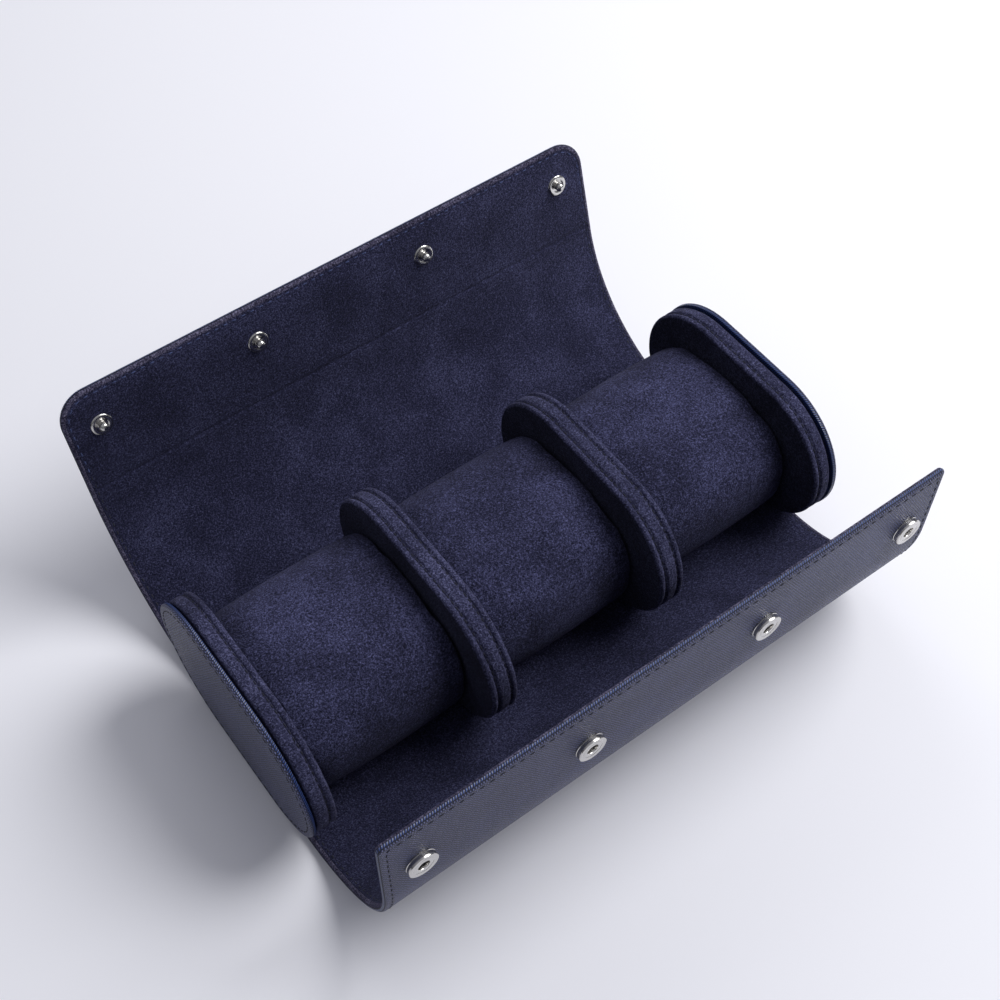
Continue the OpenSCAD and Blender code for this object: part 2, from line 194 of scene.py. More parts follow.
def wall_up(wall, s):
    """The direction towards the inside of the case."""
    turn = wall_turn(wall, s)
    return (0, -wall["side"] * math.sin(turn), math.cos(turn))


def make_mesh(name, points, faces, uvs, kinds, materials, sharp=40):
    """A mesh object with one UV pair a corner and one material number a face."""
    mesh = bpy.data.meshes.new(name)
    mesh.from_pydata(points, [], faces)
    layer = mesh.uv_layers.new(name="UVMap")
    layer.data.foreach_set("uv", [c for face in uvs for uv in face for c in uv])
    mesh.polygons.foreach_set("material_index", kinds)
    for material in materials:
        mesh.materials.append(material)
    work = bmesh.new()
    work.from_mesh(mesh)
    bmesh.ops.recalc_face_normals(work, faces=work.faces)
    work.to_mesh(mesh)
    work.free()
    mesh.shade_smooth()
    mesh.set_sharp_from_angle(angle=math.radians(sharp))
    piece = bpy.data.objects.new(name, mesh)
    SCENE.collection.objects.link(piece)
    return piece


def developed(profile):
    """The length along a profile of (inset, offset, kind) up to each of its points."""
    total = [0.0]
    for (d0, o0, _), (d1, o1, _) in zip(profile, profile[1:]):
        total.append(total[-1] + math.hypot(d1 - d0, o1 - o0))
    return total


def strip_rows(s0, s1, extra=()):
    """The stations of a strip's cross-sections, with any extra ones that lie between its ends."""
    count = max(1, math.ceil((s1 - s0) / BEND_STEP))
    return sorted(set([s0 + (s1 - s0) * i / count for i in range(count + 1)]
                      + [s for s in extra if s0 < s < s1]))


def wall_strip(name, wall, rows, half_w, profile, materials, dip=lambda s: 0.0):
    """A closed sheet between two stations: the profile runs round its right edge and its left."""
    n = len(profile)
    length = developed(profile)
    points, faces, uvs, kinds = [], [], [], []
    for s in rows:
        for d, o, _ in profile:
            points.append(wall_point(wall, half_w - d, s, o + (dip(s) if o > 0 else 0)))
        for d, o, _ in reversed(profile):
            points.append(wall_point(wall, d - half_w, s, o + (dip(s) if o > 0 else 0)))
    for r in range(len(rows) - 1):
        for j in range(2 * n):
            k = (j + 1) % (2 * n)
            a, b = r * 2 * n, (r + 1) * 2 * n
            faces.append((a + j, a + k, b + k, b + j))
            if j in (n - 1, 2 * n - 1):
                u0, u1 = points[a + j][0], points[a + k][0]
                kinds.append(GRAIN)
            else:
                i = j if j < n else 2 * n - 2 - j
                u0, u1 = length[i], length[i + 1]
                kinds.append(profile[i][2])
            uvs.append([(u0, rows[r]), (u1, rows[r]), (u1, rows[r + 1]), (u0, rows[r + 1])])
    for r in (0, len(rows) - 1):
        loop = [r * 2 * n + j for j in range(2 * n)]
        faces.append(loop if r else loop[::-1])
        uvs.append([(points[v][0], rows[r]) for v in faces[-1]])
        kinds.append(GRAIN)
    return make_mesh(name, points, faces, uvs, kinds, materials)


def plate_outline(half_w, s0, s1, corner, count=14):
    """Points (x, s), inward normals and lengths along an end plate's edge, from right to left."""
    right = [((half_w, s0), (-1, 0))]
    for i in range(count + 1):
        a = math.pi / 2 * i / count
        right.append(((half_w - corner + corner * math.cos(a), s1 - corner + corner * math.sin(a)),
                      (-math.cos(a), -math.sin(a))))
    left = [((-x, s), (-nx, ns)) for (x, s), (nx, ns) in reversed(right)]
    outline, total = [], 0.0
    for p, m in right + left:
        if outline:
            total += math.dist(p, outline[-1][0])
        outline.append((p, m, total))
    return outline


def inset_point(edge, inset, corner_x, corner_s, corner):
    """A point inside the edge. Further in than a corner's radius, the corner is square."""
    (x, s), (nx, ns), _ = edge
    if inset > corner and s >= corner_s:
        return math.copysign(corner_x - inset + corner, x), corner_s - inset + corner
    return x + inset * nx, s + inset * ns


def wall_plate(name, wall, s0, s1, half_w, corner, profile, materials):
    """The flat end of a wall with rounded corners, closed where the last strip joins it."""
    outline = plate_outline(half_w, s0, s1, corner)
    n, m = len(profile), len(outline)
    length = developed(profile)
    flat = []
    points, faces, uvs, kinds = [], [], [], []
    for edge in outline:
        for d, o, _ in profile:
            flat.append(inset_point(edge, d, half_w - corner, s1 - corner, corner))
            points.append(wall_point(wall, *flat[-1], o))
    for i in range(m - 1):
        for j in range(n - 1):
            faces.append((i * n + j, i * n + j + 1, (i + 1) * n + j + 1, (i + 1) * n + j))
            v0, v1 = outline[i][2] + s0, outline[i + 1][2] + s0
            ribbed = [(length[j], v0), (length[j + 1], v0), (length[j + 1], v1), (length[j], v1)]
            uvs.append(ribbed if profile[j][2] == RIBS else [flat[v] for v in faces[-1]])
            kinds.append(profile[j][2])
    for j in (0, n - 1):
        for i in range(m // 2 - 1):
            k = m - 1 - i
            faces.append((i * n + j, (i + 1) * n + j, (k - 1) * n + j, k * n + j))
            uvs.append([flat[v] for v in faces[-1]])
            kinds.append(GRAIN)
    faces.append(list(range(n)) + [(m - 1) * n + j for j in reversed(range(n))])
    uvs.append([flat[v] for v in faces[-1]])
    kinds.append(GRAIN)
    return make_mesh(name, points, faces, uvs, kinds, materials)


def stations(wall):
    """Where the strips of a wall meet: the middles of the floor's side, the slats and the plate."""
    middles = [(i - 0.5) * wall["pitch"] for i in range(7)]
    return middles[:-1] + [wall["plate"]]


def principled(name):
    """A material with only its Principled shader and output."""
    material = bpy.data.materials.new(name)
    material.use_nodes = True
    return material, material.node_tree, material.node_tree.nodes["Principled BSDF"]


# Cross-grain calf: navy pigment finish, embossed with fine crossed lines and a low satin sheen.
GRAIN_PITCH = 0.72 * MM
GRAIN_ANGLE = 32
GRAIN_D = 0.34 * MM
WAVE_UNIT = math.pi / 10  # a wave texture of this scale repeats once a metre


def grain_leather(name, dark, light, roughness):
    material, tree, shader = principled(name)
    place = add(tree, "ShaderNodeUVMap", uv_map="UVMap").outputs[0]
    warp = add(tree, "ShaderNodeTexNoise", {"Vector": place, "Scale": 400, "Detail": 2})
    lines = []
    for angle in (GRAIN_ANGLE, 180 - GRAIN_ANGLE):
        turned = add(tree, "ShaderNodeMapping",
                     {"Vector": place, "Rotation": (0, 0, math.radians(angle))})
        wave = add(tree, "ShaderNodeTexWave",
                   {"Vector": turned.outputs[0], "Scale": WAVE_UNIT / GRAIN_PITCH, "Distortion": 2.2,
                    "Detail": 1.0, "Detail Scale": 1.5},
                   wave_type="BANDS", bands_direction="X", wave_profile="SIN")
        lines.append(wave.outputs["Fac"])
    crossed = add(tree, "ShaderNodeMath", {0: lines[0], 1: lines[1]}, operation="MULTIPLY")
    fine = add(tree, "ShaderNodeTexNoise", {"Vector": place, "Scale": 5200, "Detail": 2})
    height = add(tree, "ShaderNodeMath", {0: fine.outputs[0], 1: 0.5, 2: crossed.outputs[0]},
                 operation="MULTIPLY_ADD")
    patches = add(tree, "ShaderNodeTexNoise", {"Vector": place, "Scale": 45, "Detail": 3})
    shade = add(tree, "ShaderNodeMath", {0: patches.outputs[0], 1: 0.35, 2: height.outputs[0]},
                operation="MULTIPLY_ADD")
    ramp = add(tree, "ShaderNodeValToRGB", {0: shade.outputs[0]})
    ramp.color_ramp.elements[0].position = 0.42
    ramp.color_ramp.elements[0].color = linear(dark)
    ramp.color_ramp.elements[1].position = 1.0
    ramp.color_ramp.elements[1].color = linear(light)
    tree.links.new(ramp.outputs[0], shader.inputs["Base Color"])
    rough = add(tree, "ShaderNodeMapRange",
                {"Value": warp.outputs[0], "To Min": roughness - 0.06, "To Max": roughness + 0.1})
    tree.links.new(rough.outputs[0], shader.inputs["Roughness"])
    bump = add(tree, "ShaderNodeBump",
               {"Height": height.outputs[0], "Strength": 1.0, "Distance": GRAIN_D})
    tree.links.new(bump.outputs[0], shader.inputs["Normal"])
    shader.inputs["Specular IOR Level"].default_value = 0.45
    shader.inputs["Sheen Weight"].default_value = 0.06
    shader.inputs["Sheen Tint"].default_value = linear("#a0a2b8")
    return material


# The turned hem: the same leather stretched over the edge, where the grain opens into ribs.
RIB_PITCH = 0.72 * MM
RIB_ANGLE = 28
RIB_D = 0.2 * MM


def ribbed_hem(name):
    material, tree, shader = principled(name)
    place = add(tree, "ShaderNodeUVMap", uv_map="UVMap").outputs[0]
    slanted = add(tree, "ShaderNodeMapping",
                  {"Vector": place, "Rotation": (0, 0, math.radians(RIB_ANGLE))})
    ribs = add(tree, "ShaderNodeTexWave",
               {"Vector": slanted.outputs[0], "Scale": WAVE_UNIT / RIB_PITCH, "Distortion": 1.2,
                "Detail": 1.0, "Detail Scale": 2.0},
               wave_type="BANDS", bands_direction="Y", wave_profile="SIN")
    # Rib crests lighter and hollows darker: partly the edge dye's own tone, partly painted glints on
    # the crests and painted shade in the hollows.
    ramp = add(tree, "ShaderNodeValToRGB", {0: ribs.outputs["Fac"]})
    ramp.color_ramp.elements[0].position = 0.3
    ramp.color_ramp.elements[0].color = linear("#0a1030")
    ramp.color_ramp.elements[1].position = 1.0
    ramp.color_ramp.elements[1].color = linear("#2f4886")
    tree.links.new(ramp.outputs[0], shader.inputs["Base Color"])
    bump = add(tree, "ShaderNodeBump",
               {"Height": ribs.outputs["Fac"], "Strength": 0.7, "Distance": RIB_D})
    tree.links.new(bump.outputs[0], shader.inputs["Normal"])
    shader.inputs["Roughness"].default_value = 0.38
    shader.inputs["Specular IOR Level"].default_value = 0.6
    return material


# Waxed polyester thread, matt, twisted from plies that show as slanted lines.
def thread(name, dark, light):
    material, tree, shader = principled(name)
    place = add(tree, "ShaderNodeTexCoord").outputs["Object"]
    plies = add(tree, "ShaderNodeTexNoise", {"Vector": place, "Scale": 3000, "Detail": 2})
    ramp = add(tree, "ShaderNodeValToRGB", {0: plies.outputs[0]})
    ramp.color_ramp.elements[0].position = 0.3
    ramp.color_ramp.elements[0].color = linear(dark)
    ramp.color_ramp.elements[1].position = 0.7
    ramp.color_ramp.elements[1].color = linear(light)
    tree.links.new(ramp.outputs[0], shader.inputs["Base Color"])
    bump = add(tree, "ShaderNodeBump",
               {"Height": plies.outputs[0], "Strength": 0.5, "Distance": 0.08 * MM})
    tree.links.new(bump.outputs[0], shader.inputs["Normal"])
    shader.inputs["Roughness"].default_value = 0.7
    return material


# Microsuede: a dense short nap, matt, that lies in patches and shows pale where it is brushed up.
# Real fibres are far finer than a pixel, so their clumps are drawn.
FIBRE_CLUMP = 0.55 * MM
NAP_PATCH = 19 * MM
NAP_D = 0.6 * MM


def mean_centred(tree, value, gain, base):
    """base + gain * (value - 0.5), where base is a number or a socket."""
    if isinstance(base, bpy.types.NodeSocket):
        shifted = add(tree, "ShaderNodeMath", {0: value, 1: 0.5}, operation="SUBTRACT").outputs[0]
        return add(tree, "ShaderNodeMath", {0: shifted, 1: gain, 2: base},
                   operation="MULTIPLY_ADD").outputs[0]
    return add(tree, "ShaderNodeMath", {0: value, 1: gain, 2: base - 0.5 * gain},
               operation="MULTIPLY_ADD").outputs[0]


def suede(name, dark, middle_tone, light, coordinates, contrast):
    material, tree, shader = principled(name)
    if coordinates == "UV":
        place = add(tree, "ShaderNodeUVMap", uv_map="UVMap").outputs[0]
    else:
        place = add(tree, "ShaderNodeTexCoord").outputs["Object"]
    fibres = add(tree, "ShaderNodeTexNoise",
                 {"Vector": place, "Scale": 1 / FIBRE_CLUMP, "Detail": 3, "Roughness": 0.6,
                  "Distortion": 0.8})
    tufts = add(tree, "ShaderNodeTexNoise",
                {"Vector": place, "Scale": 0.3 / FIBRE_CLUMP, "Detail": 2, "Distortion": 0.5})
    nap = add(tree, "ShaderNodeTexNoise",
              {"Vector": place, "Scale": 1 / NAP_PATCH, "Detail": 3, "Roughness": 0.5,
               "Distortion": 0.6})
    patch = mean_centred(tree, nap.outputs[0], 0.7 * contrast, 0.5)
    middle = mean_centred(tree, tufts.outputs[0], 0.3 * contrast, patch)
    whole = mean_centred(tree, fibres.outputs[0], 2.6 * contrast, middle)
    ramp = add(tree, "ShaderNodeValToRGB", {0: whole})
    ramp.color_ramp.elements[0].position = 0.08
    ramp.color_ramp.elements[0].color = linear(dark)
    ramp.color_ramp.elements[1].position = 1.0
    ramp.color_ramp.elements[1].color = linear(light)
    ground = ramp.color_ramp.elements.new(0.5)
    ground.color = linear(middle_tone)
    tree.links.new(ramp.outputs[0], shader.inputs["Base Color"])
    pile = add(tree, "ShaderNodeMath", {0: tufts.outputs[0], 1: 0.7, 2: fibres.outputs[0]},
               operation="MULTIPLY_ADD")
    bump = add(tree, "ShaderNodeBump",
               {"Height": pile.outputs[0], "Strength": 1.0, "Distance": NAP_D})
    tree.links.new(bump.outputs[0], shader.inputs["Normal"])
    shader.inputs["Roughness"].default_value = 0.95
    shader.inputs["Specular IOR Level"].default_value = 0.12
    shader.inputs["Sheen Weight"].default_value = 0.1
    shader.inputs["Sheen Roughness"].default_value = 0.45
    shader.inputs["Sheen Tint"].default_value = linear("#9c9cb8")
    return material


LEATHER = grain_leather("cross_grain_calf", "#090b1e", "#646a98", 0.44)
CUT_SUEDE = suede("cut_suede_edge", "#1c1a28", "#403d54", "#7c7994", "UV", 1.0)
HEM = ribbed_hem("turned_leather_hem")
NAVY_THREAD = thread("navy_thread", "#0a0b16", "#1b1d33")


# A row of stitches: thread bodies set along a guide line, lying flat on the surface.
def stitch_tree():
    tree = bpy.data.node_groups.new("stitch_row", "GeometryNodeTree")
    for name, kind, way in (("Guide", "NodeSocketGeometry", "INPUT"),
                            ("Count", "NodeSocketInt", "INPUT"),
                            ("Length", "NodeSocketFloat", "INPUT"),
                            ("Thickness", "NodeSocketFloat", "INPUT"),
                            ("Material", "NodeSocketMaterial", "INPUT"),
                            ("Stitches", "NodeSocketGeometry", "OUTPUT")):
        tree.interface.new_socket(name, in_out=way, socket_type=kind)
    given = add(tree, "NodeGroupInput")
    line = add(tree, "GeometryNodeMeshToCurve", {"Mesh": given.outputs["Guide"]})
    dots = add(tree, "GeometryNodeResampleCurve",
               {"Curve": line.outputs[0], "Count": given.outputs["Count"]})
    body = add(tree, "GeometryNodeMeshUVSphere", {"Segments": 8, "Rings": 6, "Radius": 0.5})
    size = add(tree, "ShaderNodeCombineXYZ",
               {0: given.outputs["Length"], 1: given.outputs["Thickness"],
                2: given.outputs["Thickness"]})
    shaped = add(tree, "GeometryNodeTransform",
                 {"Geometry": body.outputs["Mesh"], "Scale": size.outputs[0]})
    up = add(tree, "GeometryNodeInputNamedAttribute", {"Name": "up"}, data_type="FLOAT_VECTOR")
    raised = add(tree, "FunctionNodeAlignRotationToVector", {"Vector": up.outputs["Attribute"]},
                 axis="Z")
    tangent = add(tree, "GeometryNodeInputTangent")
    laid = add(tree, "FunctionNodeAlignRotationToVector",
               {"Rotation": raised.outputs[0], "Vector": tangent.outputs[0]},
               axis="X", pivot_axis="Z")
    row = add(tree, "GeometryNodeInstanceOnPoints",
              {"Points": dots.outputs[0], "Instance": shaped.outputs[0], "Rotation": laid.outputs[0]})
    real = add(tree, "GeometryNodeRealizeInstances", {"Geometry": row.outputs[0]})
    dyed = add(tree, "GeometryNodeSetMaterial",
               {"Geometry": real.outputs[0], "Material": given.outputs["Material"]})
    add(tree, "NodeGroupOutput", {"Stitches": dyed.outputs[0]})
    return tree


STITCH_TREE = stitch_tree()


def evaluated_mesh(thing):
    """The plain mesh of an object with its modifiers applied; the object itself is removed."""
    graph = bpy.context.evaluated_depsgraph_get()
    mesh = bpy.data.meshes.new_from_object(thing.evaluated_get(graph), depsgraph=graph)
    bpy.data.objects.remove(thing)
    return mesh


def laid_out(name, guide, ups, tree, inputs):
    """The plain mesh that a tree makes on a guide; ups holds each point's outward direction."""
    attribute = guide.attributes.new("up", "FLOAT_VECTOR", "POINT")
    attribute.data.foreach_set("vector", [c for up in ups for c in up])
    holder = bpy.data.objects.new(name, guide)
    SCENE.collection.objects.link(holder)
    modifier = holder.modifiers.new(name, "NODES")
    modifier.node_group = tree
    for item in tree.interface.items_tree:
        if item.name in inputs:
            modifier[item.identifier] = inputs[item.name]
    return evaluated_mesh(holder)


def stitch_mesh(points, ups, cyclic, count, length, thickness, material):
    """A row of stitches along a line of points."""
    guide = bpy.data.meshes.new("stitch_guide")
    last = len(points) if cyclic else len(points) - 1
    guide.from_pydata(points, [(i, (i + 1) % len(points)) for i in range(last)], [])
    mesh = laid_out("stitch_guide", guide, ups, STITCH_TREE, {
        "Count": count, "Length": length, "Thickness": thickness, "Material": material})
    mesh.shade_smooth()
    return mesh


def join_mesh(piece, mesh, material):
    """Adds a mesh to a piece, under one more material."""
    number = piece.data.materials.find(material.name)
    if number < 0:
        piece.data.materials.append(material)
        number = len(piece.data.materials) - 1
    work = bmesh.new()
    work.from_mesh(piece.data)
    before = len(work.faces)
    work.from_mesh(mesh)
    work.faces.ensure_lookup_table()
    for face in work.faces[before:]:
        face.material_index = number
    work.to_mesh(piece.data)
    work.free()
    bpy.data.meshes.remove(mesh)


THREAD_T = 0.5 * MM
STITCH_L = 1.8 * MM
THREAD_SINK = 0.08 * MM
TIGHT_CORNER = 0.3 * MM


def side_stitches(piece, wall, s0, s1, half_w, face, material):
    """Stitches along both side edges of a strip, on its outer face (-1) or its inner face (1)."""
    count = max(1, round((s1 - s0) / STITCH_PITCH))
    step = (s1 - s0) / count
    o = face * (HALF_T - (STITCH_DENT if face < 0 else THREAD_SINK))
    rows = strip_rows(s0 + step / 2, s1 - step / 2)
    ups = [wall_up(wall, s) for s in rows]
    for x in (STITCH_INSET - half_w, half_w - STITCH_INSET):
        points = [wall_point(wall, x, s, o) for s in rows]
        mesh = stitch_mesh(points, ups, False, count, STITCH_L, THREAD_T, material)
        join_mesh(piece, mesh, material)


def plate_stitches(piece, wall, s0, s1, half_w, corner, face, material):
    """One run of stitches up one side of an end plate, round its corners and down the other."""
    line = plate_outline(half_w - STITCH_INSET, s0 + STITCH_PITCH / 2, s1 - STITCH_INSET,
                         max(corner - STITCH_INSET, TIGHT_CORNER), 8)
    count = round(line[-1][2] / STITCH_PITCH) + 1
    o = face * (HALF_T - (STITCH_DENT if face < 0 else THREAD_SINK))
    points = [wall_point(wall, x, s, o) for (x, s), _, _ in line]
    ups = [wall_up(wall, s0)] * len(points)
    mesh = stitch_mesh(points, ups, False, count, STITCH_L, THREAD_T, material)
    join_mesh(piece, mesh, material)


def leather_profile():
    """(inset, offset, kind): from the stitched outer face round the hem to the leather's inner side.

    The hem turns from -90 to 90 degrees. Both edges of its ribs sink into a dent painted dark with the
    thread: partly a real seam, partly painted shade.
    """
    profile = [(STITCH_INSET + d * MM, o - HALF_T, GRAIN)
               for d, o in ((0.7, 0), (0.2, STITCH_DENT), (-0.2, STITCH_DENT), (-0.55, 0))]
    turns = [(-90, GRAIN), (-74, GRAIN), (-58, GRAIN), (-45, SEAM_AND_SHADE), (-37, SEAM_AND_SHADE), (-30, RIBS),
             (-21, RIBS), (-11, RIBS), (0, RIBS), (8, SEAM_AND_SHADE), (14, SEAM_AND_SHADE), (22, CUT), (38, CUT),
             (60, CUT), (90, CUT)]
    dents = {-37: 0.5 * SEAM_D, 14: 1.2 * SEAM_D, 22: 0.5 * SEAM_D}
    for turn, kind in turns:
        a = math.radians(turn)
        r = HALF_T - dents.get(turn, 0)
        profile.append((HALF_T - r * math.cos(a), r * math.sin(a), kind))
    return profile + [(HEM_W, HALF_T, GRAIN), (HEM_W, LEATHER_T - HALF_T, GRAIN)]


LEATHER_PROFILE = leather_profile()
WRAP_MATERIALS = [LEATHER, HEM, NAVY_THREAD, CUT_SUEDE]


def attach(piece, wall, number):
    """The plate rides the last body; strips 0 to 5 are baked where they stand and ride no body."""
    bodies = wall["bodies"]
    if number == 6:
        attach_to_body(piece, bodies[6])
        return
    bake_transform(piece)


floor_y = FOLD_Y - 0.5 * FRONT["pitch"]
floor_back_y = FOLD_Y - 0.5 * BACK["pitch"]


def floor_sheet(name, half_w, profile, materials):
    """The flat part between the first strips: a wall that never bends, with its stations in y."""
    flat_wall = {"side": 1, "flat": 1, "radius": 1, "lean": 0}
    rows = [-floor_y - FOLD_Y, floor_back_y - FOLD_Y]
    return wall_strip(name, flat_wall, rows, half_w, profile, materials), flat_wall, rows


leather_floor, flat_wall, floor_rows = floor_sheet("leather_floor", WRAP_HALF_W, LEATHER_PROFILE,
                                                   WRAP_MATERIALS)
side_stitches(leather_floor, flat_wall, *floor_rows, WRAP_HALF_W, -1, NAVY_THREAD)
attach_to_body(leather_floor, "base")
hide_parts("floor_leather")

for wall in (FRONT, BACK):
    cuts = stations(wall)
    edge = wall["length"] - wall["edge_gap"]
    for number in range(7):
        name = f"{wall['name']}_leather_{number + 1}"
        if number < 6:
            piece = wall_strip(name, wall, strip_rows(cuts[number], cuts[number + 1]), WRAP_HALF_W,
                               LEATHER_PROFILE, WRAP_MATERIALS)
            side_stitches(piece, wall, cuts[number], cuts[number + 1], WRAP_HALF_W, -1, NAVY_THREAD)
        else:
            piece = wall_plate(name, wall, cuts[6], edge, WRAP_HALF_W, wall["corner"],
                               LEATHER_PROFILE, WRAP_MATERIALS)
            plate_stitches(piece, wall, cuts[6], edge, WRAP_HALF_W, wall["corner"], -1, NAVY_THREAD)
        attach(piece, wall, number)
        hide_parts(f"{wall['name']}_leather")


# ---- Suede lining
# Microsuede on a thin foam backing, glued to the slats and boards and caught by the same row of
# stitches as the leather. A crease runs across it where the flap's board begins.
LINING_T = 0.8 * MM
GLUE_GAP = 0.05 * MM
LINING_GAP = HEM_W + GLUE_GAP
LINING_HALF_W = WRAP_HALF_W - LINING_GAP
CREASE_S = 85.5 * MM
CREASE_D = 0.38 * MM
CREASE_W = 0.7 * MM

LINING_SUEDE = suede("lining_microsuede", "#11121f", "#26273f", "#5b5d83", "UV", 0.65)
PALE_THREAD = thread("steel_blue_thread", "#222c52", "#4c5a8c")
LINING_PROFILE = [
    (0, HALF_T - LINING_T, 0), (0, HALF_T - 0.35 * MM, 0), (0.1 * MM, HALF_T - 0.1 * MM, 0),
    (0.35 * MM, HALF_T, 0),
]


def crease(s):
    """How far the suede sinks at a station near the flap's crease."""
    return -CREASE_D * math.exp(-((s - CREASE_S) / CREASE_W) ** 2)


lining_floor, _, _ = floor_sheet("lining_floor", LINING_HALF_W, LINING_PROFILE, [LINING_SUEDE])
side_stitches(lining_floor, flat_wall, *floor_rows, WRAP_HALF_W, 1, NAVY_THREAD)
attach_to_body(lining_floor, "base")
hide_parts("floor_lining")

for wall in (FRONT, BACK):
    cuts = stations(wall)
    edge = wall["length"] - wall["edge_gap"]
    top = edge - LINING_GAP
    top_thread = PALE_THREAD if wall is BACK else NAVY_THREAD
    for number in range(7):
        name = f"{wall['name']}_lining_{number + 1}"
        if number < 6:
            near_crease = [CREASE_S + i * 0.3 * MM for i in range(-6, 7)] if wall is BACK else []
            rows = strip_rows(cuts[number], cuts[number + 1], near_crease)
            piece = wall_strip(name, wall, rows, LINING_HALF_W, LINING_PROFILE, [LINING_SUEDE],
                               crease if wall is BACK else lambda s: 0.0)
            side_stitches(piece, wall, cuts[number], cuts[number + 1], WRAP_HALF_W, 1, NAVY_THREAD)
        else:
            piece = wall_plate(name, wall, cuts[6], top, LINING_HALF_W,
                               wall["corner"] - LINING_GAP, LINING_PROFILE, [LINING_SUEDE])
            plate_stitches(piece, wall, cuts[6], edge, WRAP_HALF_W, wall["corner"], 1, top_thread)
        attach(piece, wall, number)
        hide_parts(f"{wall['name']}_lining")


# ---- End caps
# A stadium of board covered in the same leather, glued to the end panel so that its lip covers
# the side of the rolled wrap. The leather is turned over its rim and stitched 2.2 mm inside.
DIVIDER_LOW, DIVIDER_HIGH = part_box("left_divider_band")
PANEL_Z = (DIVIDER_LOW.z + DIVIDER_HIGH.z) / 2
PANEL_R = (DIVIDER_HIGH.z - DIVIDER_LOW.z) / 2
PANEL_STRAIGHT = DIVIDER_HIGH.y - PANEL_R
CAP_LOW, CAP_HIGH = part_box("right_cap_leather")
CAP_R = (CAP_HIGH.z - CAP_LOW.z) / 2
CAP_INNER = CAP_LOW.x
CAP_OUTER = CAP_HIGH.x


def stadium(radius, count=40):
    """Points (y, z), inward normals and lengths round a stadium."""
    outline, total = [], 0.0
    for side in (1, -1):
        for i in range(count + 1):
            a = side * math.pi / 2 - math.pi * i / count
            normal = (math.cos(a), math.sin(a))
            p = (side * PANEL_STRAIGHT + radius * normal[0], PANEL_Z + radius * normal[1])
            if outline:
                total += math.dist(p, outline[-1][0])
            outline.append((p, (-normal[0], -normal[1]), total))
    return outline


def stadium_sweep(name, radius, profile, materials, filled, side=1, sharp=40):
    """Sweeps (inset, x, kind) round a stadium, with the flat faces closed or the profile a ring."""
    outline = stadium(radius)
    n, m = len(profile), len(outline)
    length = developed(profile)
    whole = outline[-1][2] + math.dist(outline[-1][0], outline[0][0])
    points, faces, uvs, kinds = [], [], [], []
    for (y, z), (ny, nz), _ in outline:
        for d, x, _ in profile:
            points.append((side * x, y + d * ny, z + d * nz))
    for i in range(m):
        k = (i + 1) % m
        v0, v1 = outline[i][2], outline[k][2] if k else whole
        for j in range(n if not filled else n - 1):
            j1 = (j + 1) % n
            u0, u1 = length[j], length[j1] if j1 else length[j] + profile[0][0]
            faces.append((i * n + j, i * n + j1, k * n + j1, k * n + j))
            uvs.append([(u0, v0), (u1, v0), (u1, v1), (u0, v1)])
            kinds.append(profile[j][2])
    if filled:
        for j in (0, n - 1):
            faces.append([i * n + j for i in range(m)])
            uvs.append([points[v][1:] for v in faces[-1]])
            kinds.append(GRAIN)
    return make_mesh(name, points, faces, uvs, kinds, materials, sharp)


def stadium_stitches(piece, radius, x, up, pitch, thickness, material):
    """A closed row of stitches round a stadium; up is None for a row that lies on the rim."""
    outline = stadium(radius)
    points = [(x, y, z) for (y, z), _, _ in outline]
    ups = [up if up else (0, -ny, -nz) for _, (ny, nz), _ in outline]
    whole = outline[-1][2] + math.dist(outline[-1][0], outline[0][0])
    mesh = stitch_mesh(points, ups, True, round(whole / pitch), 0.72 * pitch, thickness, material)
    join_mesh(piece, mesh, material)


CAP_ROUND = 0.6 * MM
CAP_STITCH_INSET = 2.2 * MM


def cap_profile():
    """(inset, x, kind) from the lip's inner side: ribbed edge, dark seam (partly a real seam, partly
    painted shade), rounded rim, stitch groove.
    """
    lip = [(1.6, 0, RIBS), (0.35, 0, RIBS), (0.1, 0.1, RIBS), (0, 0.35, RIBS), (0, 0.85, SEAM_AND_SHADE),
           (0.14, 0.92, SEAM_AND_SHADE), (0, 1.0, GRAIN)]
    profile = [(d * MM, CAP_INNER + x * MM, kind) for d, x, kind in lip]
    for i in range(7):
        a = math.radians(15 * i)
        x = CAP_OUTER - CAP_ROUND * (1 - math.sin(a))
        profile.append((CAP_ROUND * (1 - math.cos(a)), x, GRAIN))
    for d, x in ((-0.6, 0), (-0.2, STITCH_DENT), (0.2, STITCH_DENT), (0.7, 0)):
        profile.append((CAP_STITCH_INSET + d * MM, CAP_OUTER - x, GRAIN))
    return profile


for side, hand in ((-1, "left"), (1, "right")):
    cap = stadium_sweep(f"{hand}_end_cap", CAP_R, cap_profile(), [LEATHER, HEM, NAVY_THREAD],
                        True, side)
    stadium_stitches(cap, CAP_R - CAP_STITCH_INSET, side * (CAP_OUTER - STITCH_DENT), (side, 0, 0),
                     STITCH_PITCH, THREAD_T, NAVY_THREAD)
    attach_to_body(cap, "base")
    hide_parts(f"{hand}_cap_leather", f"{hand}_cap_board")


# ---- Panel rims
# A strip of suede covers each panel's rim. Where it meets the suede of the face, the edges are
# sewn together over a cord, which makes a piping with a stitched groove beside it.
PIPING_R = 1.1 * MM
GROOVE_W = 0.75 * MM
GROOVE_D = 0.55 * MM
BAND_T = 0.8 * MM
RIM_PITCH = 2.3 * MM
RIM_THREAD_T = 0.36 * MM
PANEL_SUEDE = suede("panel_microsuede", "#161727", "#32334e", "#6a6c92", "Object", 0.8)


